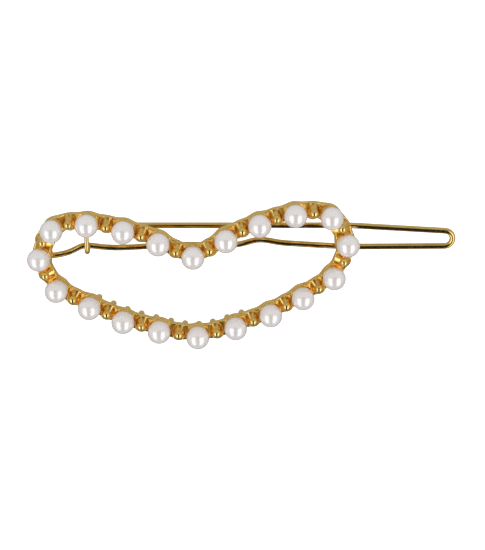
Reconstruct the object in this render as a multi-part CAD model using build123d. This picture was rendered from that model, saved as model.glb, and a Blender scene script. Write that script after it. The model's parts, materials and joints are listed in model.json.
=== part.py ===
"""Heart-shaped pearl hair slide with a sprung wire leg and a hook catch.

World frame: +X runs along the wire leg towards its U-bend, +Z is up and the front faces -Y.
The origin is the middle of the hair gap: between the wire's two legs, in the wire's plane.
Everything is drawn in a local frame (u right, v up, w out of the front face) whose origin is
the middle of the heart's back face, and is moved to the world frame when it is written.
The heart is bowed, so its flat pattern (along, v) is wrapped on an upright cylinder.
Lengths are millimetres and angles are degrees.
"""
import math
import os

from build123d import *

# ---- pearls and their seats -------------------------------------------------------------
PEARL_DIA = 4.0
PEARL_HEIGHT = 2.5          # pearl centre in front of the back face
PEARL_HOLE_DIA = 0.8
PEARL_HOLE_DEPTH = 2.0      # measured from the pearl's rear pole
SEAT_CLEARANCE = 0.03       # glue line between pearl and cup
PEG_DIA = 0.7
PEG_REACH = 1.7             # how far a peg stands into its pearl

# ---- cast heart frame --------------------------------------------------------------------
HEART_TILT = 2.8            # the heart is soldered slightly askew on the level wire
BOW_RADIUS = 150.0          # the back face is bowed so that both sides lie further back
# Pearl centres of the right half in the heart's own axes, from the notch round to the tip.
RIGHT_HALF_SEATS = [
    (0.0, 4.2),
    (5.7, 6.85),
    (11.5, 9.2),
    (17.6, 10.5),
    (23.75, 9.5),
    (26.4, 4.3),
    (23.8, -1.45),
    (18.3, -4.6),
    (12.65, -7.25),
    (6.55, -9.2),
    (0.0, -10.5),
]
BAND_THICKNESS = 0.9
BAND_HALF_AT_PEARL = 1.9
BAND_HALF_BETWEEN = 1.65
BAND_HALF_AT_BALL = 1.72
CUP_FOOT_HEIGHT = 0.4       # the cups are rooted this far up inside the band
CUP_FOOT_RADIUS = 1.6
CUP_RIM_HEIGHT = 1.35
CUP_RIM_RADIUS = 1.93

# ---- cast gold balls between the pearls --------------------------------------------------
BALL_DIA = 1.6
BALL_HEIGHT = 1.85
SKIRT_FOOT_RADIUS = 1.4
SKIRT_TOP_RADIUS = 0.7
SKIRT_FOOT_HEIGHT = 0.6

# ---- grip nubs on the back of the lower band ---------------------------------------------
NUB_COUNT = 11
NUB_DIA = 1.1
NUB_LENGTH = 1.75
NUB_PITCH = 2.7
NUB_FIRST_FROM_TIP = -8.4   # along the band; minus is the side towards the U-bend
NUB_INSET = 0.9             # from the band's centre line towards the inside of the heart

# ---- spring wire -------------------------------------------------------------------------
WIRE_DIA = 1.05
WIRE_GAP = 0.05             # between the wire and the rearmost part of the back face it crosses
WIRE_CROSSING_U = 28.4
FIXED_LEG_START_U = -25.0
FIXED_LEG_V = 8.2
BEND_CENTRE_U = 43.35
BEND_CENTRE_V = 5.82
BEND_RADIUS = 1.4
BEND_SPLIT = 0.05           # gap between the two wire pieces at the middle of the U-bend
UPPER_SLOPE = 3.4           # the fixed leg drops towards the U-bend
KINK_RADIUS = 12.0
# Centre line of the free leg, from its straight run to its tip behind the heart's left side.
FREE_LEG_RUN = [
    (29.0, 4.32),
    (23.0, 4.5),
    (17.0, 4.88),
    (14.2, 5.15),
    (11.1, 5.6),
    (8.2, 4.85),
    (3.5, 4.6),
    (-8.0, 4.4),
    (-15.6, 4.2),
    (-17.8, 4.47),
    (-19.6, 4.47),
    (-21.2, 3.6),
    (-23.4, 2.9),
    (-25.0, 2.7),
]

# ---- hair gap ----------------------------------------------------------------------------
GAP_MIDDLE_V = 6.4          # halfway between the wire's two legs at the heart's middle

# ---- catch -------------------------------------------------------------------------------
CATCH_DIA = 0.9
CATCH_U = -18.7
CATCH_WIRE_V = 4.47         # height of the free leg where the catch holds it
CATCH_CLEARANCE = 0.08
CATCH_LIP_ANGLE = 56.0      # how far below level the hook's lip ends, behind the wire
CATCH_TOP_V = 9.2           # the bar's top end, against the back face
CATCH_TOP_BITE = 0.12       # how deep the bar is let into the back face there

# ---- solder ------------------------------------------------------------------------------
SOLDER_HALF_LENGTH = 1.5
SOLDER_HALF_WIDTH = 1.0
SOLDER_PLACES = {"solder_left": -23.6, "solder_right": 25.0}
CATCH_SOLDER_RADIUS = 0.78
CATCH_SOLDER_V = 9.0

# ---- derived sizes -----------------------------------------------------------------------
pearl_radius = PEARL_DIA / 2
wire_radius = WIRE_DIA / 2
catch_radius = CATCH_DIA / 2
wire_w = -(BOW_RADIUS - math.sqrt(BOW_RADIUS**2 - WIRE_CROSSING_U**2) + WIRE_GAP + wire_radius)
hook_radius = wire_radius + catch_radius + CATCH_CLEARANCE
split_angle = math.degrees(BEND_SPLIT / 2 / BEND_RADIUS)
kink_end_angle = 90 - UPPER_SLOPE
half_line = Spline(*RIGHT_HALF_SEATS, tangents=[(1, 0), (-1, 0)], tangent_scalars=(1, 1))

ON_BASE = (Align.CENTER, Align.CENTER, Align.MIN)
TILT = Rot(0, 0, HEART_TILT)
UPRIGHT = Plane(origin=(0, 0, 0), x_dir=(1, 0, 0), z_dir=(0, -1, 0)).location
TO_WORLD = UPRIGHT * Pos(0, -GAP_MIDDLE_V, -wire_w)


# ---- places round the heart --------------------------------------------------------------
def on_heart(along, v):
    """A location on the bowed back face, with its w axis square to the face."""
    angle = math.degrees(along / BOW_RADIUS)
    return Pos(0, 0, -BOW_RADIUS) * Rot(0, angle, 0) * Pos(0, v, BOW_RADIUS)


def back_face_w(u):
    """Height of the back face at u."""
    return math.sqrt(BOW_RADIUS**2 - u**2) - BOW_RADIUS


def round_the_heart(fraction, inset=0.0):
    """A pattern point a fraction of the way round, clockwise from the notch; inset points inside."""
    along_half = 2 * min(fraction, 1 - fraction)
    point = half_line.position_at(along_half)
    heading = half_line.tangent_at(along_half)
    along = point.X + inset * heading.Y
    v = point.Y - inset * heading.X
    return (along, v) if fraction <= 0.5 else (-along, v)


def seat_fractions():
    """Where the pearls sit round the heart."""
    right = [half_line.param_at_point(seat) / 2 for seat in RIGHT_HALF_SEATS[1:-1]]
    left = [1 - fraction for fraction in reversed(right)]
    return [0.0, *right, 0.5, *left]


pearl_fractions = seat_fractions()
next_fractions = pearl_fractions[1:] + [1.0]
ball_fractions = [(a + b) / 2 for a, b in zip(pearl_fractions, next_fractions)]
seats = [round_the_heart(fraction) for fraction in pearl_fractions]


# ---- cast heart frame --------------------------------------------------------------------
def band_outline(side):
    """One edge of the band, an arc at every pearl and ball: side 1 is inside the heart, -1 outside."""

    def edge_point(fraction, half_width):
        along, v = round_the_heart(fraction, side * half_width)
        return (BOW_RADIUS * math.sin(along / BOW_RADIUS), v)

    middles = sorted(pearl_fractions + ball_fractions)
    widths = [BAND_HALF_AT_PEARL, BAND_HALF_AT_BALL] * len(seats)
    crests = [edge_point(fraction, width) for fraction, width in zip(middles, widths)]
    between = [(a + b) / 2 for a, b in zip(middles, middles[1:] + [1.0])]
    waists = [edge_point(fraction, BAND_HALF_BETWEEN) for fraction in between]
    arcs = [ThreePointArc(waists[i - 1], crest, waists[i]) for i, crest in enumerate(crests)]
    return Face(Wire(arcs))


def make_band():
    """The scalloped ring, cut out of a bowed sheet."""
    reach = 4 * BAND_HALF_AT_PEARL
    outline = Pos(0, 0, -reach) * (band_outline(-1) - band_outline(1))
    sheet_height = 60
    sheet = Cylinder(BOW_RADIUS + BAND_THICKNESS, sheet_height) - Cylinder(BOW_RADIUS, sheet_height)
    bowed_sheet = Pos(0, 0, -BOW_RADIUS) * Rot(90, 0, 0) * sheet
    return extrude(outline, amount=2 * reach, dir=(0, 0, 1)) & bowed_sheet


def make_cup():
    """A collar round the foot of a pearl; the pearl's own space is cut out of it later."""
    collar = Cone(CUP_FOOT_RADIUS, CUP_RIM_RADIUS, CUP_RIM_HEIGHT - CUP_FOOT_HEIGHT, align=ON_BASE)
    return Pos(0, 0, CUP_FOOT_HEIGHT) * collar


def make_ball():
    """A ball on a skirt that flares down into the band."""
    skirt_height = BALL_HEIGHT - SKIRT_FOOT_HEIGHT
    skirt = Cone(SKIRT_FOOT_RADIUS, SKIRT_TOP_RADIUS, skirt_height, align=ON_BASE)
    return Pos(0, 0, SKIRT_FOOT_HEIGHT) * skirt + Pos(0, 0, BALL_HEIGHT) * Sphere(BALL_DIA / 2)


def make_nub():
    """A round-ended peg that stands out of the back face and is rooted in the band."""
    dome_centre = -(NUB_LENGTH - NUB_DIA / 2)
    root = BAND_THICKNESS / 2
    shank = Cylinder(NUB_DIA / 2, root - dome_centre, align=ON_BASE)
    return Pos(0, 0, dome_centre) * (shank + Sphere(NUB_DIA / 2))


def nub_places():
    for index in range(NUB_COUNT):
        from_tip = NUB_FIRST_FROM_TIP + index * NUB_PITCH
        yield round_the_heart(0.5 + from_tip / (2 * half_line.length), NUB_INSET)


def make_heart_frame():
    """One casting: band, cups, balls, nubs and the pegs that the pearls are glued on."""
    cups = [on_heart(*seat) * make_cup() for seat in seats]
    balls = [on_heart(*round_the_heart(fraction)) * make_ball() for fraction in ball_fractions]
    nubs = [on_heart(*place) * make_nub() for place in nub_places()]
    casting = make_band().fuse(*cups, *balls, *nubs)
    pearl_space = Pos(0, 0, PEARL_HEIGHT) * Sphere(pearl_radius + SEAT_CLEARANCE)
    casting = casting.cut(*[on_heart(*seat) * pearl_space for seat in seats])
    root = BAND_THICKNESS / 4
    peg_length = PEARL_HEIGHT - pearl_radius + PEG_REACH - root
    peg = Pos(0, 0, root) * Cylinder(PEG_DIA / 2, peg_length, align=ON_BASE)
    return TILT * casting.fuse(*[on_heart(*seat) * peg for seat in seats])


# ---- pearls ------------------------------------------------------------------------------
def make_pearl(seat):
    """An imitation pearl, drilled halfway from behind."""
    hole = Cylinder(PEARL_HOLE_DIA / 2, PEARL_HOLE_DEPTH, align=ON_BASE)
    pearl = Sphere(pearl_radius) - Pos(0, 0, -pearl_radius) * hole
    return TILT * on_heart(*seat) * Pos(0, 0, PEARL_HEIGHT) * pearl


# ---- spring wire -------------------------------------------------------------------------
def on_bend(angle):
    """A point on the U-bend's centre line: 90 is its top and 0 is its far end."""
    radians = math.radians(angle)
    u = BEND_CENTRE_U + BEND_RADIUS * math.cos(radians)
    v = BEND_CENTRE_V + BEND_RADIUS * math.sin(radians)
    return (u, v, wire_w)


def domed_bar(path, radius):
    """A round bar along a path, with a dome on the end where the path starts."""
    section = Plane(origin=path @ 0, z_dir=path % 0) * Circle(radius)
    return sweep(section, path=path) + Pos(*(path @ 0)) * Sphere(radius)


def make_wire_fixed_leg():
    """The level leg behind the heart, a gentle kink, and the upper half of the U-bend."""
    leg_end = on_bend(kink_end_angle)
    drop = FIXED_LEG_V - leg_end[1]
    kink_u = leg_end[0] - drop / math.tan(math.radians(UPPER_SLOPE))
    leg_start = (FIXED_LEG_START_U, FIXED_LEG_V, wire_w)
    leg = FilletPolyline(leg_start, (kink_u, FIXED_LEG_V, wire_w), leg_end, radius=KINK_RADIUS)
    bend = ThreePointArc(leg_end, on_bend((kink_end_angle + split_angle) / 2), on_bend(split_angle))
    return domed_bar(Wire([*leg.edges(), bend]), wire_radius)


def make_wire_free_leg():
    """The lower half of the U-bend and the wavy leg that springs into the catch."""
    from_tip = [(u, v, wire_w) for u, v in reversed(FREE_LEG_RUN)]
    wave = Spline(*from_tip, tangents=[(1, -0.1, 0), (1, 0, 0)], tangent_scalars=(1, 1))
    straight = Line(from_tip[-1], on_bend(270))
    bend = ThreePointArc(on_bend(270), on_bend(315), on_bend(360 - split_angle))
    return domed_bar(Wire([wave, straight, bend]), wire_radius)


# ---- catch and solder --------------------------------------------------------------------
def make_catch_hook(heart_frame):
    """A bar that hangs from the back face, hooks under the free leg and turns up behind it."""

    def round_the_wire(angle):
        v = CATCH_WIRE_V + hook_radius * math.sin(math.radians(angle))
        return (CATCH_U, v, wire_w + hook_radius * math.cos(math.radians(angle)))

    lip_angle = CATCH_LIP_ANGLE - 180
    curl = ThreePointArc(round_the_wire(lip_angle), round_the_wire(lip_angle / 2), round_the_wire(0))
    top = (CATCH_U, CATCH_TOP_V, back_face_w(CATCH_U) - catch_radius + CATCH_TOP_BITE)
    stem = Spline(curl @ 1, top, tangents=[(0, 1, 0), (0, 1, 0)])
    return domed_bar(Wire([curl, stem]), catch_radius) - heart_frame


def make_wire_solder(u, heart_frame):
    """A bead of solder that fills the gap between the fixed leg and the back face."""
    stand_off = back_face_w(u) - wire_w
    bead = scale(Sphere(1), by=(SOLDER_HALF_LENGTH, SOLDER_HALF_WIDTH, 0.75 * stand_off))
    wire = Pos(0, 0, wire_w) * Rot(0, 90, 0) * Cylinder(wire_radius, 4 * SOLDER_HALF_LENGTH)
    return Pos(u, FIXED_LEG_V, 0) * (Pos(0, 0, wire_w + 0.4 * stand_off) * bead - wire) - heart_frame


def make_catch_solder(heart_frame, catch_hook):
    top_w = back_face_w(CATCH_U) - catch_radius
    bead = Pos(CATCH_U, CATCH_SOLDER_V, top_w) * Sphere(CATCH_SOLDER_RADIUS)
    return bead - heart_frame - catch_hook


# ---- write the nodes ---------------------------------------------------------------------
def write(name, shape):
    export_step(TO_WORLD * shape, f"parts/{name}.step")


os.makedirs("parts", exist_ok=True)
frame = make_heart_frame()
hook = make_catch_hook(frame)
write("heart_frame", frame)
for number, seat in enumerate(seats, start=1):
    write(f"pearl_{number:02d}", make_pearl(seat))
write("wire_fixed_leg", make_wire_fixed_leg())
write("wire_free_leg", make_wire_free_leg())
write("catch_hook", hook)
write("solder_catch", make_catch_solder(frame, hook))
for name, place in SOLDER_PLACES.items():
    write(name, make_wire_solder(place, frame))
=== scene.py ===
"""The looks of a heart-shaped pearl hair slide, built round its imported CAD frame.

Metres throughout.  +X runs along the wire towards its U-bend, +Z is up and the front faces -Y,
so depth out of the front face is -y.  Pearls, wire and catch are placed from the CAD nodes;
the casting is drawn round the pearls with the sizes named below.
"""
import json
import math

import bmesh
import bpy
import numpy as np
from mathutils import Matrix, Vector


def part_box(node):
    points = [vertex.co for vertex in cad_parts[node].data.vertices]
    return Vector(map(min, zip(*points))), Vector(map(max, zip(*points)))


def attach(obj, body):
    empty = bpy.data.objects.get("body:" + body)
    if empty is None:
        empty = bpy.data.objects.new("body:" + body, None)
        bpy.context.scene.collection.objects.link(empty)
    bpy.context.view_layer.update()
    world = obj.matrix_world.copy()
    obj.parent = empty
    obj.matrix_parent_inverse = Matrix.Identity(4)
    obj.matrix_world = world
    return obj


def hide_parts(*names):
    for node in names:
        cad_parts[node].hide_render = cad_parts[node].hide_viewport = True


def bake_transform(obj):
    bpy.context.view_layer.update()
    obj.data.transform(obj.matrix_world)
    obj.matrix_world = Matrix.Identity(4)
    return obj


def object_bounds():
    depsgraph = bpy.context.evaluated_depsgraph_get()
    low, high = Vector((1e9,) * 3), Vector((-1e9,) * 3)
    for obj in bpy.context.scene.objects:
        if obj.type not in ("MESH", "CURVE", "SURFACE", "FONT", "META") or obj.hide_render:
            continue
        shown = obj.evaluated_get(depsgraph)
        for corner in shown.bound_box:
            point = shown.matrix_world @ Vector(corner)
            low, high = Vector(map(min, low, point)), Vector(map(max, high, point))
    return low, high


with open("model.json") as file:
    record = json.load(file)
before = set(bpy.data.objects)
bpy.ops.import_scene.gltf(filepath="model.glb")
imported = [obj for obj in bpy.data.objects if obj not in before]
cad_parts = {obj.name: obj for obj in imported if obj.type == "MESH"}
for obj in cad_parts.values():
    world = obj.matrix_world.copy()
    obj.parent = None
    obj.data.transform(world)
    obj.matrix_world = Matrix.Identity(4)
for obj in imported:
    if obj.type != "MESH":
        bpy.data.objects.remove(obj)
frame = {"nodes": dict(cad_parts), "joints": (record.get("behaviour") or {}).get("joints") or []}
cad_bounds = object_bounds()

MM = 0.001
PEARLS = sorted(name for name in frame["nodes"] if name.startswith("pearl_"))

# ---- bowed heart, as in the CAD ----------------------------------------------------------
NOTCH_PEARL_HEIGHT = 2.5 * MM   # pearl centre in front of the back face, at the notch
PEARL_RADIUS = 2.0 * MM
NOTCH_PEARL_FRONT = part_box("pearl_01")[0].y
GAP_MIDDLE = 6.4 * MM           # height of the hair gap, the frame's origin, above the heart's middle
HEART_MIDDLE = Vector((0.0, NOTCH_PEARL_FRONT + NOTCH_PEARL_HEIGHT + PEARL_RADIUS, -GAP_MIDDLE))
HEART_TILT = math.radians(2.8)
BOW_RADIUS = 150 * MM

# ---- casting -----------------------------------------------------------------------------
STATIONS_PER_SPAN = 64          # cross-sections from one pearl to the next
# Half widths of the band: the mean, and swells at each pearl and at each ball.
FRONT_HALF = (1.50 * MM, 0.12 * MM, 0.20 * MM)
BACK_HALF = (1.62 * MM, 0.13 * MM, 0.08 * MM)
CORNER_SPANS = (4, 15)          # the band is wider inside these spans, where the heart turns
CORNER_SWELL = 0.4 * MM
CORNER_LENGTH = 0.4             # half length of that swell, in spans
BAND_RAISE = np.array([0.0, 0.2 * MM])  # the pearls sit a little low on the band
EDGE_ROUND = 0.24 * MM
BACK_EDGE_ROUND = 0.14 * MM
FLOOR_HEIGHT = 0.62 * MM        # bottom of the hollows between cups and ridges
RIM_HEIGHT = 0.9 * MM           # the hollows rise to this at the edges of the band
CREASE_FILL = 0.16 * MM
HOLLOW_SHADE_MARGIN = 0.45 * MM       # the painted shade, a deeper orange in the hollows, fades out over this much of the band's edge
CUP_RADIUS = 1.95 * MM
CUP_WALL = 0.2 * MM
CUP_HEIGHT = 1.35 * MM
POCKET_RADIUS = 2.02 * MM
RIDGE_HALF = 0.88 * MM          # half width of the ridge that carries a ball
RIDGE_STEEPNESS = 3.4
RIDGE_HEIGHT = 1.75 * MM
RIDGE_END_HEIGHT = 0.95 * MM    # height of the ridge at the edges of the band
RIDGE_REACH = 1.9 * MM          # how far from the band's line the ridge has come down to that
BALL_RADIUS = 0.78 * MM
BALL_HEIGHT = 1.85 * MM
POLISHED = -1.0                 # value of the hollow_shade_and_polish attribute on the balls, which are shinier and carry no painted shade

# ---- grip nubs ---------------------------------------------------------------------------
NUB_COUNT = 11
NUB_RADIUS = 0.55 * MM
NUB_LENGTH = 1.95 * MM
NUB_PITCH = 2.7 * MM
NUB_FIRST_FROM_TIP = -8.4 * MM  # minus is the side towards the U-bend
NUB_INSET = 1.1 * MM
NUB_FILLET = 0.12 * MM
NUB_ROOT = 0.3 * MM             # how deep a nub starts inside the band

# ---- catch -------------------------------------------------------------------------------
HOOK_NECK = 0.12                # share by which the bar is thinner just above its curl
HOOK_TURN = math.radians(124)

# ---- photo view --------------------------------------------------------------------------
CAMERA_DISTANCE = 300 * MM
CAMERA_ELEVATION = math.radians(20)
CAMERA_TARGET = Vector((8.28 * MM, -3.25 * MM, -6.18 * MM))
SEEN_WIDTH = 83.9 * MM          # width of the picture at the target
SENSOR_WIDTH = 36.0
FLOOR_DROP = 45 * MM            # the floor lies this far below the slide


# ==== mesh helpers ========================================================================
def new_piece(name, vertices, faces, material):
    mesh = bpy.data.meshes.new(name)
    mesh.from_pydata([tuple(v) for v in vertices], [], faces)
    mesh.update()
    mesh.materials.append(material)
    mesh.shade_smooth()
    piece = bpy.data.objects.new(name, mesh)
    bpy.context.scene.collection.objects.link(piece)
    return piece


def grid_faces(rows, columns, close_rows=False, close_columns=True, start=0):
    """Quads of a grid of vertices, row after row."""
    faces = []
    for i in range(rows if close_rows else rows - 1):
        for j in range(columns if close_columns else columns - 1):
            a = start + i * columns + j
            b = start + i * columns + (j + 1) % columns
            c = start + ((i + 1) % rows) * columns + (j + 1) % columns
            d = start + ((i + 1) % rows) * columns + j
            faces.append((a, b, c, d))
    return faces


def lathe(profile, centre, outward, segments=48):
    """Turn (radius, height) points about the outward axis; both ends lie on the axis."""
    outward = Vector(outward)
    side = outward.orthogonal().normalized()
    across = outward.cross(side)
    (_, first_height), *rings, (_, last_height) = profile
    vertices = [centre + outward * first_height]
    for radius, height in rings:
        for k in range(segments):
            turn = 2 * math.pi * k / segments
            spoke = side * math.cos(turn) + across * math.sin(turn)
            vertices.append(centre + outward * height + spoke * radius)
    vertices.append(centre + outward * last_height)
    faces = grid_faces(len(rings), segments, start=1)
    last = len(vertices) - 1
    for k in range(segments):
        nxt = (k + 1) % segments
        faces.append((0, 1 + nxt, 1 + k))
        faces.append((last, last - segments + k, last - segments + nxt))
    return vertices, faces


def join_shells(shells):
    """One vertex and face list from many."""
    vertices = []
    faces = []
    for shell_vertices, shell_faces in shells:
        offset = len(vertices)
        vertices.extend(shell_vertices)
        faces.extend(tuple(i + offset for i in face) for face in shell_faces)
    return vertices, faces


# ==== bowed heart =========================================================================
def heart_point(along, v, height):
    """World place of a point of the heart's flat pattern, raised off the bowed back face."""
    angle = along / BOW_RADIUS
    u = (BOW_RADIUS + height) * np.sin(angle)
    forward = (BOW_RADIUS + height) * np.cos(angle) - BOW_RADIUS
    x = u * math.cos(HEART_TILT) - v * math.sin(HEART_TILT)
    z = u * math.sin(HEART_TILT) + v * math.cos(HEART_TILT)
    return np.stack([HEART_MIDDLE.x + x, HEART_MIDDLE.y - forward, HEART_MIDDLE.z + z], -1)


def heart_outward(along):
    """World direction square to the bowed back face, out of the front."""
    u = math.sin(along / BOW_RADIUS)
    return Vector((u * math.cos(HEART_TILT), -math.cos(along / BOW_RADIUS), u * math.sin(HEART_TILT)))


def pattern_place(point):
    """The opposite of heart_point: (along, v) and height of a world point."""
    offset = point - HEART_MIDDLE
    u = offset.x * math.cos(HEART_TILT) + offset.z * math.sin(HEART_TILT)
    v = offset.z * math.cos(HEART_TILT) - offset.x * math.sin(HEART_TILT)
    forward = BOW_RADIUS - offset.y
    return (BOW_RADIUS * math.atan2(u, forward), v), math.hypot(u, forward) - BOW_RADIUS


def pearl_centre(name):
    low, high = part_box(name)
    radius = (high.x - low.x) / 2
    return Vector(((low.x + high.x) / 2, low.y + radius, (low.z + high.z) / 2)), radius


def periodic_spline(points, samples_per_span):
    """A smooth closed curve through 2-D points: positions and headings, span by span."""
    points = np.array(points)
    count = len(points)
    spans = np.linalg.norm(np.roll(points, -1, 0) - points, axis=1)
    matrix = np.zeros((count, count))
    right = np.zeros((count, 2))
    for i in range(count):
        before, after = spans[i - 1], spans[i]
        matrix[i, i - 1] = after
        matrix[i, i] = 2 * (before + after)
        matrix[i, (i + 1) % count] = before
        slope_before = (points[i] - points[i - 1]) / before
        slope_after = (points[(i + 1) % count] - points[i]) / after
        right[i] = 3 * (after * slope_before + before * slope_after)
    slopes = np.linalg.solve(matrix, right)
    places = []
    headings = []
    for i in range(count):
        j = (i + 1) % count
        h = spans[i]
        for t in np.arange(samples_per_span) / samples_per_span:
            p0, p1, m0, m1 = points[i], points[j], slopes[i] * h, slopes[j] * h
            place = (
                (2 * t**3 - 3 * t**2 + 1) * p0
                + (t**3 - 2 * t**2 + t) * m0
                + (3 * t**2 - 2 * t**3) * p1
                + (t**3 - t**2) * m1
            )
            heading = (
                (6 * t**2 - 6 * t) * p0
                + (3 * t**2 - 4 * t + 1) * m0
                + (6 * t - 6 * t**2) * p1
                + (3 * t**2 - 2 * t) * m1
            )
            places.append(place)
            headings.append(heading / np.linalg.norm(heading))
    return np.array(places), np.array(headings)


seats = np.array([pattern_place(pearl_centre(name)[0])[0] for name in PEARLS])
PEARL_HEIGHT = pattern_place(pearl_centre(PEARLS[0])[0])[1]
line_places, line_headings = periodic_spline(seats, STATIONS_PER_SPAN)
line_inward = np.stack([line_headings[:, 1], -line_headings[:, 0]], -1)
ball_stations = slice(STATIONS_PER_SPAN // 2, None, STATIONS_PER_SPAN)


# ==== casting =============================================================================
def smooth_step(x):
    x = np.clip(x, 0, 1)
    return x * x * (3 - 2 * x)


def soft_max(a, b):
    """The larger of two heights, with the crease between them filled in."""
    mix = np.clip(0.5 + 0.5 * (a - b) / CREASE_FILL, 0, 1)
    return b + (a - b) * mix + CREASE_FILL * mix * (1 - mix)


def half_widths(mean, pearl_swell, ball_swell):
    """The band's half width at every station of its line."""
    phase = 2 * np.pi * np.arange(len(line_places)) / STATIONS_PER_SPAN
    return mean + pearl_swell * np.cos(phase) + ball_swell * np.cos(2 * phase)


def corner_swell():
    """Extra width on the inside of the heart's two upper corners, at every station."""
    span = np.arange(len(line_places)) / STATIONS_PER_SPAN
    offsets = [(span - corner - 0.5) / CORNER_LENGTH for corner in CORNER_SPANS]
    return sum(CORNER_SWELL * np.exp(-(offset**2)) for offset in offsets)


def ridge_height(places):
    """Height of the rounded ridges that cross the band under the balls."""
    balls = line_places[ball_stations]
    offsets = places[..., None, :] - balls
    nearest = (offsets**2).sum(-1).argmin(-1)
    offset = np.take_along_axis(offsets, nearest[..., None, None], -2)[..., 0, :]
    lengthwise = (offset * line_headings[ball_stations][nearest]).sum(-1)
    crosswise = (offset * line_inward[ball_stations][nearest]).sum(-1)
    drape = smooth_step(np.abs(crosswise) / RIDGE_REACH)
    crest = RIDGE_HEIGHT + (RIDGE_END_HEIGHT - RIDGE_HEIGHT) * drape
    return crest / (1 + np.abs(lengthwise / RIDGE_HALF) ** RIDGE_STEEPNESS)


def front_height(places, edge_share):
    """Height of the casting's front: hollows, ridges and the cups with the pearls' pockets."""
    r = np.sqrt(((places[..., None, :] - seats) ** 2).sum(-1)).min(-1)
    hollow = FLOOR_HEIGHT + (RIM_HEIGHT - FLOOR_HEIGHT) * edge_share**2.5
    cup = CUP_HEIGHT * smooth_step((CUP_RADIUS - r) / CUP_WALL)
    height = soft_max(soft_max(cup, ridge_height(places)), hollow)
    pocket = PEARL_HEIGHT - np.sqrt(np.maximum(POCKET_RADIUS**2 - r**2, 0))
    return np.where(r < POCKET_RADIUS, np.minimum(height, pocket), height)


def band_shell():
    """The ring: rounded front edges, walls that flare to the back, and a flat back."""
    front = {1: half_widths(*FRONT_HALF) + corner_swell(), -1: half_widths(*FRONT_HALF)}
    back = {1: half_widths(*BACK_HALF) + corner_swell(), -1: half_widths(*BACK_HALF)}
    band_line = line_places + BAND_RAISE
    front_shares = np.linspace(-1, 1, 45)
    corner = np.linspace(0, np.pi / 2, 6)[1:]
    wall = np.linspace(0, 1, 7)[1:]
    foot = np.linspace(0, np.pi / 2, 4)[1:]
    columns = []

    def height_at(offset, side):
        places = band_line + line_inward * offset[:, None]
        return front_height(places, np.abs(offset) / front[side])

    def add_column(offset, height, side):
        place = band_line + line_inward * offset[:, None]
        # painted shade: a mask, deepest in the hollows and fading out at the band's edge, that turns the gold
        # a deeper orange there in place of its bounce light
        hollow = smooth_step((CUP_HEIGHT - height) / (CUP_HEIGHT - RIM_HEIGHT))
        edge = smooth_step((front[side] - np.abs(offset)) / HOLLOW_SHADE_MARGIN)
        columns.append((heart_point(place[:, 0], place[:, 1], height), hollow * edge))

    def side_columns(side):
        rows = []
        flat = front[side] - EDGE_ROUND
        for a in corner:
            offset = side * (flat + EDGE_ROUND * math.sin(a))
            rows.append((offset, height_at(offset, side) - EDGE_ROUND * (1 - math.cos(a))))
        top = rows[-1][1]
        for share in wall:
            flare = side * (front[side] + (back[side] - front[side]) * share**1.5)
            rows.append((flare, top + (BACK_EDGE_ROUND - top) * share))
        for a in foot:
            inset = BACK_EDGE_ROUND * (1 - math.cos(a))
            height = BACK_EDGE_ROUND * (1 - math.sin(a)) * np.ones(len(line_places))
            rows.append((side * (back[side] - inset), height))
        return rows

    for share in front_shares:
        side = 1 if share > 0 else -1
        offset = share * (front[side] - EDGE_ROUND)
        add_column(offset, height_at(offset, side), side)
    for offset, height in side_columns(1):
        add_column(offset, height, 1)
    for share in np.linspace(1, -1, 9)[1:-1]:
        side = 1 if share > 0 else -1
        add_column(share * (back[side] - BACK_EDGE_ROUND), np.zeros(len(line_places)), side)
    for offset, height in reversed(side_columns(-1)):
        add_column(offset, height, -1)
    vertices = np.stack([place for place, _ in columns], 1).reshape(-1, 3)
    painted_hollow_shade = np.stack([hollow_shade_and_polish for _, hollow_shade_and_polish in columns], 1).ravel()
    return vertices, grid_faces(len(line_places), len(columns), close_rows=True), painted_hollow_shade


def ball_shell(place):
    turns = np.linspace(math.pi, 0, 29)
    profile = [(BALL_RADIUS * math.sin(a), BALL_RADIUS * math.cos(a)) for a in turns]
    centre = Vector(heart_point(place[0], place[1], BALL_HEIGHT))
    return lathe(profile, centre, heart_outward(place[0]))


def nub_places():
    """Pattern places of the nubs, evenly spaced along the lower band."""
    steps = np.linalg.norm(np.roll(line_places, -1, 0) - line_places, axis=1)
    travelled = np.concatenate([[0], np.cumsum(steps)[:-1]])
    tip = travelled[PEARLS.index("pearl_11") * STATIONS_PER_SPAN]
    for index in range(NUB_COUNT):
        station = np.searchsorted(travelled, tip + NUB_FIRST_FROM_TIP + index * NUB_PITCH)
        yield line_places[station] + line_inward[station] * NUB_INSET


def nub_shell(place):
    """A round-ended peg with a filleted foot, standing out of the back face."""
    profile = [(0, -NUB_ROOT), (NUB_RADIUS + NUB_FILLET, -NUB_ROOT)]
    for turn in np.linspace(0, math.pi / 2, 8):
        reach = NUB_RADIUS + NUB_FILLET * (1 - math.sin(turn))
        profile.append((reach, NUB_FILLET * (1 - math.cos(turn))))
    for turn in np.linspace(0, math.pi / 2, 12):
        reach = NUB_LENGTH - NUB_RADIUS + NUB_RADIUS * math.sin(turn)
        profile.append((NUB_RADIUS * math.cos(turn), reach))
    profile[-1] = (0, NUB_LENGTH)
    foot = Vector(heart_point(place[0], place[1], 0.0))
    return lathe(profile, foot, -heart_outward(place[0]), segments=32)


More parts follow.
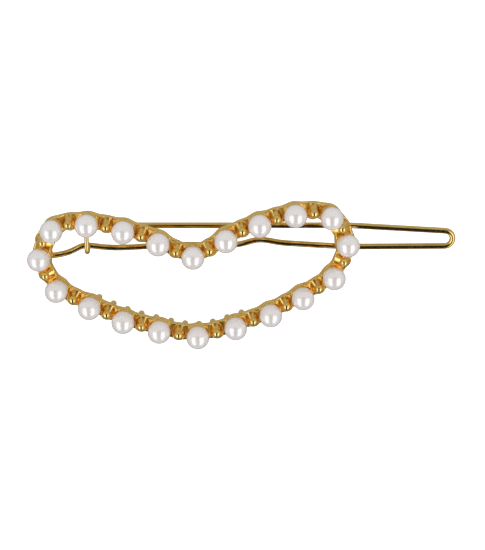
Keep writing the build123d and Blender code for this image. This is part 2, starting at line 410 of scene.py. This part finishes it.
def make_casting(material):
    vertices, faces, painted_hollow_shade = band_shell()
    shells = [(list(vertices), faces)]
    shells.extend(ball_shell(place) for place in line_places[ball_stations])
    shells.extend(nub_shell(place) for place in nub_places())
    all_vertices, all_faces = join_shells(shells)
    casting = new_piece("heart_casting", all_vertices, all_faces, material)
    ball_vertices = sum(len(shell[0]) for shell in shells[1 : len(PEARLS) + 1])
    shade = np.zeros(len(all_vertices), np.float32)
    # the band's painted hollow shade, then the mark that makes the balls more polished
    shade[: len(painted_hollow_shade)] = painted_hollow_shade
    shade[len(painted_hollow_shade) : len(painted_hollow_shade) + ball_vertices] = POLISHED
    casting.data.attributes.new("hollow_shade_and_polish", "FLOAT", "POINT").data.foreach_set("value", shade)
    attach(casting, "slide")
    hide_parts("heart_frame")


# ==== pearls ==============================================================================
def make_pearl(name, material):
    """A half-drilled pearl: a ball with a rounded drill hole at its back."""
    centre, radius = pearl_centre(name)
    outward = heart_outward(pattern_place(centre)[0][0])
    hole = 0.4 * MM
    lip = 0.06 * MM
    depth = 1.2 * MM
    rim = math.asin((hole + lip) / radius)
    rear = -radius * math.cos(rim)
    profile = [(0, rear + depth), (hole, rear + depth), (hole, rear + 3 * lip), (hole, rear + lip)]
    profile.append((hole + 0.3 * lip, rear + 0.3 * lip))
    for turn in np.linspace(rim, math.pi, 42):
        profile.append((radius * math.sin(turn), -radius * math.cos(turn)))
    profile[-1] = (0, radius)
    shell = lathe(profile, centre, outward, segments=72)
    pearl = new_piece(name.replace("pearl", "pearl_bead"), *shell, material)
    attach(pearl, "slide")
    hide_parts(name)


# ==== spring wire =========================================================================
def wire_slice(node, x):
    """Middle of a CAD wire's section at x, as (y, z)."""
    mesh = bmesh.new()
    mesh.from_mesh(frame["nodes"][node].data)
    geometry = mesh.verts[:] + mesh.edges[:] + mesh.faces[:]
    cut = bmesh.ops.bisect_plane(
        mesh, geom=geometry, plane_co=(x, 0, 0), plane_no=(1, 0, 0), clear_inner=False
    )["geom_cut"]
    points = np.array([v.co[1:] for v in cut if isinstance(v, bmesh.types.BMVert)])
    mesh.free()
    return (points.min(0) + points.max(0)) / 2


def wire_path():
    """Centre line of the whole wire: fixed leg, U-bend, then the free leg to its tip."""
    joint = Vector(frame["joints"][0]["pos_m"])
    low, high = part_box("wire_fixed_leg")
    radius = (high.y - low.y) / 2
    bend = high.x - joint.x - radius
    start = low.x + radius
    path = []
    for x in np.append(np.arange(start, joint.x - 0.3 * MM, 0.8 * MM), joint.x - 0.3 * MM):
        y, z = wire_slice("wire_fixed_leg", x)
        path.append(Vector((x, y, z)))
    for turn in np.radians(np.arange(84, -91, -6)):
        path.append(joint + Vector((bend * math.cos(turn), 0, bend * math.sin(turn))))
    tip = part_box("wire_free_leg")[0].x + radius
    for x in np.append(np.arange(joint.x - 0.8 * MM, tip, -0.5 * MM), tip):
        y, z = wire_slice("wire_free_leg", x)
        path.append(Vector((x, y, z)))
    return path, radius


def path_headings(path):
    last = len(path) - 1
    return [(path[min(i + 1, last)] - path[max(i - 1, 0)]).normalized() for i in range(last + 1)]


def domed_sweep(path, headings, radii, normal, segments=32):
    """A round bar along a path in the plane across normal, with domed ends."""
    normal = Vector(normal)
    dome = [math.radians(a) for a in (12, 28, 44, 60, 76)]

    def dome_rings(end, outwards):
        """Rings from the tip of an end towards the bar; outwards is -1 at the start, 1 at the end."""
        tip_way = headings[end] * radii[end] * outwards
        return [(path[end] + tip_way * math.cos(a), headings[end], radii[end] * math.sin(a)) for a in dome]

    rings = dome_rings(0, -1) + list(zip(path, headings, radii)) + dome_rings(-1, 1)[::-1]
    vertices = []
    for point, along, radius in rings:
        side = along.cross(normal).normalized()
        for k in range(segments):
            turn = 2 * math.pi * k / segments
            vertices.append(point + (side * math.cos(turn) + normal * math.sin(turn)) * radius)
    faces = grid_faces(len(rings), segments)
    ends = [(path[0] - headings[0] * radii[0], 0), (path[-1] + headings[-1] * radii[-1], len(rings) - 1)]
    for point, row in ends:
        tip = len(vertices)
        vertices.append(point)
        for k in range(segments):
            pair = (row * segments + k, row * segments + (k + 1) % segments)
            faces.append((tip, *(reversed(pair) if row == 0 else pair)))
    return vertices, faces


def make_wire(material):
    """One springy wire in three stretches that run into each other: fixed leg, U-bend, free leg."""
    path, radius = wire_path()
    for _ in range(2):
        inner = [(a + 2 * b + c) / 4 for a, b, c in zip(path, path[1:], path[2:])]
        path = [path[0], *inner, path[-1]]
    headings = path_headings(path)
    joint = Vector(frame["joints"][0]["pos_m"])
    in_bend = [i for i, point in enumerate(path) if point.x > joint.x - 0.1 * MM]
    first, last = in_bend[0], in_bend[-1]

    def stretch(name, start, end):
        part = slice(start, end + 1)
        shell = domed_sweep(path[part], headings[part], [radius] * (end + 1 - start), (0, 1, 0))
        piece = new_piece(name, *shell, material)
        return piece

    fixed_leg = stretch("wire_leg_fixed", 0, first)
    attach(fixed_leg, "slide")
    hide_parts("wire_fixed_leg")
    free_leg = stretch("wire_leg_free", last, len(path) - 1)
    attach(free_leg, "free_leg")
    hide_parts("wire_free_leg")
    bend = stretch("wire_bend", first, last)
    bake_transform(bend)


# ==== catch and solder ====================================================================
def make_catch(material):
    """The hook: a bar down from the back face that curls under the wire and turns up behind."""
    low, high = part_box("catch_hook")
    radius = (high.x - low.x) / 2
    x = (low.x + high.x) / 2
    wire_y, wire_z = wire_slice("wire_free_leg", x)
    curl = wire_z - low.z - radius
    top = Vector((x, low.y + radius, high.z))
    curl_start = Vector((x, wire_y - curl, wire_z))
    reach = (top.z - curl_start.z) / 2
    handles = [top, top - Vector((0, 0, reach)), curl_start + Vector((0, 0, reach)), curl_start]
    path = []
    radii = []
    for t in np.linspace(0, 1, 28):
        weights = ((1 - t) ** 3, 3 * t * (1 - t) ** 2, 3 * t**2 * (1 - t), t**3)
        path.append(sum((handle * w for handle, w in zip(handles, weights)), Vector()))
        radii.append(radius * (1 - HOOK_NECK * smooth_step((t - 0.3) / 0.5)))
    for turn in np.linspace(0, HOOK_TURN, 26)[1:]:
        path.append(Vector((x, wire_y - curl * math.cos(turn), wire_z - curl * math.sin(turn))))
        radii.append(radius * (1 - HOOK_NECK * (1 - smooth_step(turn / 0.9))))
    hook = new_piece("catch_hook_bar", *domed_sweep(path, path_headings(path), radii, (1, 0, 0)), material)
    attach(hook, "slide")
    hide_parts("catch_hook")


def finish_solder(material):
    """The solder beads keep their CAD shapes and get their own finish."""
    for name, node in frame["nodes"].items():
        if name.startswith("solder_"):
            node.data.materials.clear()
            node.data.materials.append(material)


# ==== materials ===========================================================================
def new_material(name):
    material = bpy.data.materials.new(name)
    material.use_nodes = True
    tree = material.node_tree
    return material, tree, tree.nodes["Principled BSDF"]


def add_node(tree, kind, **inputs):
    node = tree.nodes.new(kind)
    for key, value in inputs.items():
        socket = node.inputs[key.replace("_", " ")]
        if isinstance(value, bpy.types.NodeSocket):
            tree.links.new(value, socket)
        else:
            socket.default_value = value
    return node


def noise(tree, scale, detail=3.0, stretch=(1, 1, 1)):
    """Noise in the piece's own space; scale is in features per millimetre."""
    place = add_node(tree, "ShaderNodeTexCoord")
    mapping = add_node(tree, "ShaderNodeMapping", Vector=place.outputs["Object"])
    mapping.inputs["Scale"].default_value = tuple(scale / MM * s for s in stretch)
    texture = add_node(tree, "ShaderNodeTexNoise", Vector=mapping.outputs["Vector"], Scale=1.0, Detail=detail)
    return texture.outputs["Fac"]


def spread(tree, value, low, high, out_low, out_high):
    node = tree.nodes.new("ShaderNodeMapRange")
    tree.links.new(value, node.inputs["Value"])
    for key, number in zip(("From Min", "From Max", "To Min", "To Max"), (low, high, out_low, out_high)):
        node.inputs[key].default_value = number
    return node.outputs["Result"]


def mix_colour(tree, share, first, second):
    node = tree.nodes.new("ShaderNodeMix")
    node.data_type = "RGBA"
    for key, value in ((0, share), (6, first), (7, second)):
        if isinstance(value, bpy.types.NodeSocket):
            tree.links.new(value, node.inputs[key])
        else:
            node.inputs[key].default_value = value
    return node.outputs[2]


def bump(tree, bsdf, height, distance, strength):
    node = add_node(tree, "ShaderNodeBump", Height=height, Distance=distance, Strength=strength)
    tree.links.new(node.outputs["Normal"], bsdf.inputs["Normal"])


def cast_gold():
    """Polished gold plate with a faint cast ripple, and painted shade: deeper orange down in the grooves,
    standing in for the gold's bounce light.
    """
    material, tree, bsdf = new_material("cast_gold_plate")
    bsdf.inputs["Metallic"].default_value = 1.0
    hollow_shade_and_polish = tree.nodes.new("ShaderNodeAttribute")
    hollow_shade_and_polish.attribute_name = "hollow_shade_and_polish"
    patches = spread(tree, noise(tree, 0.5), 0.35, 0.65, 0, 1)
    plate = mix_colour(tree, patches, (0.96, 0.69, 0.23, 1), (0.94, 0.63, 0.18, 1))
    # painted shade: the hollows are mixed to a deeper orange, in place of the gold's bounce light
    colour = mix_colour(tree, hollow_shade_and_polish.outputs["Fac"], plate, (0.90, 0.50, 0.10, 1))
    tree.links.new(colour, bsdf.inputs["Base Color"])
    satin = spread(tree, noise(tree, 1.6, 5), 0.3, 0.7, 0.14, 0.24)
    polish = spread(tree, hollow_shade_and_polish.outputs["Fac"], POLISHED, 1, 0.3, 1.7)
    roughness = tree.nodes.new("ShaderNodeMath")
    roughness.operation = "MULTIPLY"
    tree.links.new(satin, roughness.inputs[0])
    tree.links.new(polish, roughness.inputs[1])
    tree.links.new(roughness.outputs[0], bsdf.inputs["Roughness"])
    bump(tree, bsdf, noise(tree, 1.1, 4), 0.03 * MM, 0.4)
    return material


def drawn_gold():
    """Gold-plated drawn wire: smooth, with fine lines along its length."""
    material, tree, bsdf = new_material("drawn_gold_wire")
    bsdf.inputs["Metallic"].default_value = 1.0
    patches = spread(tree, noise(tree, 0.4), 0.35, 0.65, 0, 1)
    plate = mix_colour(tree, patches, (0.90, 0.64, 0.22, 1), (0.82, 0.54, 0.15, 1))
    tree.links.new(plate, bsdf.inputs["Base Color"])
    tree.links.new(spread(tree, noise(tree, 2.0, 4), 0.3, 0.7, 0.10, 0.2), bsdf.inputs["Roughness"])
    bump(tree, bsdf, noise(tree, 6.0, 3, stretch=(0.04, 1, 1)), 0.01 * MM, 0.35)
    return material


def solder_gold():
    """Plated solder: the same gold, duller and puckered."""
    material, tree, bsdf = new_material("plated_solder")
    bsdf.inputs["Metallic"].default_value = 1.0
    patches = spread(tree, noise(tree, 1.2), 0.35, 0.65, 0, 1)
    plate = mix_colour(tree, patches, (0.88, 0.64, 0.27, 1), (0.76, 0.50, 0.18, 1))
    tree.links.new(plate, bsdf.inputs["Base Color"])
    tree.links.new(spread(tree, noise(tree, 3.0, 4), 0.3, 0.7, 0.22, 0.42), bsdf.inputs["Roughness"])
    bump(tree, bsdf, noise(tree, 2.4, 5), 0.08 * MM, 0.6)
    return material


def pearl_lacquer():
    """Ivory bead under pearl lacquer: a bright glaze, with painted shade that makes it greyer and faintly
    lilac towards the rim.
    """
    material, tree, bsdf = new_material("pearl_lacquer")
    # painted shade: the base colour turns greyer and faintly lilac where the surface turns away from the view
    facing = add_node(tree, "ShaderNodeLayerWeight", Blend=0.5).outputs["Facing"]
    rim = spread(tree, facing, 0.25, 0.9, 0, 1)
    cloud = spread(tree, noise(tree, 0.35, 2), 0.3, 0.7, 0, 1)
    body = mix_colour(tree, cloud, (0.94, 0.88, 0.87, 1), (0.92, 0.89, 0.86, 1))
    tree.links.new(mix_colour(tree, rim, body, (0.80, 0.73, 0.72, 1)), bsdf.inputs["Base Color"])
    bsdf.inputs["Metallic"].default_value = 0.25
    bsdf.inputs["IOR"].default_value = 1.6
    bsdf.inputs["Coat Weight"].default_value = 1.0
    bsdf.inputs["Coat IOR"].default_value = 1.7
    bsdf.inputs["Coat Roughness"].default_value = 0.05
    tree.links.new(spread(tree, noise(tree, 2.5, 4), 0.3, 0.7, 0.2, 0.3), bsdf.inputs["Roughness"])
    bump(tree, bsdf, noise(tree, 1.5, 3), 0.01 * MM, 0.25)
    return material


# ==== studio ==============================================================================
def make_world():
    """Two tall soft boxes in front with a dark gap between them, and a dim grey room."""
    world = bpy.data.worlds.new("studio")
    bpy.context.scene.world = world
    world.use_nodes = True
    tree = world.node_tree
    background = tree.nodes["Background"]
    direction = add_node(tree, "ShaderNodeTexCoord").outputs["Generated"]
    axes = add_node(tree, "ShaderNodeSeparateXYZ", Vector=direction).outputs

    def calculate(operation, *values):
        node = tree.nodes.new("ShaderNodeMath")
        node.operation = operation
        for socket, value in zip(node.inputs, values):
            if isinstance(value, bpy.types.NodeSocket):
                tree.links.new(value, socket)
            else:
                socket.default_value = value
        return node.outputs[0]

    def ramp(value, low, high, out_low=0.0, out_high=1.0):
        """A smooth step; low and high are degrees."""
        node = tree.nodes.new("ShaderNodeMapRange")
        node.interpolation_type = "SMOOTHSTEP"
        tree.links.new(value, node.inputs["Value"])
        numbers = (math.radians(low), math.radians(high), out_low, out_high)
        for key, number in zip(("From Min", "From Max", "To Min", "To Max"), numbers):
            node.inputs[key].default_value = number
        return node.outputs["Result"]

    forward = calculate("MULTIPLY", axes["Y"], -1)
    bearing = calculate("ABSOLUTE", calculate("ARCTAN2", axes["X"], forward))
    height = calculate("ARCSINE", axes["Z"])
    box = calculate("MULTIPLY", ramp(bearing, 18, 24), ramp(bearing, 56, 66, 1, 0))
    box = calculate("MULTIPLY", box, ramp(height, -58, -50))
    box = calculate("MULTIPLY", box, ramp(height, 12, 22, 1, 0))
    gap = calculate("MULTIPLY", ramp(bearing, 18, 24, 1, 0), ramp(height, 30, 42, 1, 0))
    gap = calculate("MULTIPLY", gap, ramp(height, -78, -70))
    room = ramp(height, -60, 60, 0.26, 0.5)
    room = calculate("MULTIPLY", room, calculate("SUBTRACT", 1, calculate("MULTIPLY", gap, 0.96)))
    studio = calculate("ADD", room, calculate("MULTIPLY", box, 1.35))
    matte = tree.nodes.new("ShaderNodeLightPath").outputs["Is Diffuse Ray"]
    soft_fill = calculate("MULTIPLY", matte, ramp(height, -90, 60, 1.0, 0.85))
    mirror_share = calculate("MULTIPLY", studio, calculate("SUBTRACT", 1, matte))
    light = calculate("ADD", mirror_share, soft_fill)
    background.inputs["Color"].default_value = (1, 1, 1, 1)
    tree.links.new(light, background.inputs["Strength"])


def make_floor():
    """A plain pale floor that stays out of the metal's reflections."""
    material, tree, bsdf = new_material("pale_floor")
    bsdf.inputs["Base Color"].default_value = (0.9, 0.9, 0.9, 1)
    bsdf.inputs["Roughness"].default_value = 0.9
    bsdf.inputs["Emission Color"].default_value = (1, 1, 1, 1)
    bsdf.inputs["Emission Strength"].default_value = 0.75
    half = 4.0
    z = cad_bounds[0][2] - FLOOR_DROP
    corners = [Vector((x, y, z)) for x, y in ((-half, -half), (half, -half), (half, half), (-half, half))]
    floor = new_piece("floor", corners, [(0, 1, 2, 3)], material)
    floor.visible_glossy = False
    floor.visible_shadow = False
    floor.visible_diffuse = False


def make_camera():
    camera = bpy.data.cameras.new("photo_view")
    camera.sensor_fit = "HORIZONTAL"
    camera.sensor_width = SENSOR_WIDTH
    camera.lens = SENSOR_WIDTH * CAMERA_DISTANCE / SEEN_WIDTH
    camera.clip_start = 0.005
    camera.clip_end = 20
    viewer = bpy.data.objects.new("photo_view", camera)
    bpy.context.scene.collection.objects.link(viewer)
    back = Vector((0, -math.cos(CAMERA_ELEVATION), math.sin(CAMERA_ELEVATION)))
    viewer.location = CAMERA_TARGET + back * CAMERA_DISTANCE
    viewer.rotation_euler = (math.pi / 2 - CAMERA_ELEVATION, 0, 0)
    bpy.context.scene.camera = viewer


# ==== build ===============================================================================
plate = cast_gold()
wire_gold = drawn_gold()
make_casting(plate)
lacquer = pearl_lacquer()
for pearl_name in PEARLS:
    make_pearl(pearl_name, lacquer)
make_wire(wire_gold)
make_catch(wire_gold)
finish_solder(solder_gold())
make_world()
make_floor()
make_camera()
bpy.context.scene.view_settings.view_transform = "Standard"
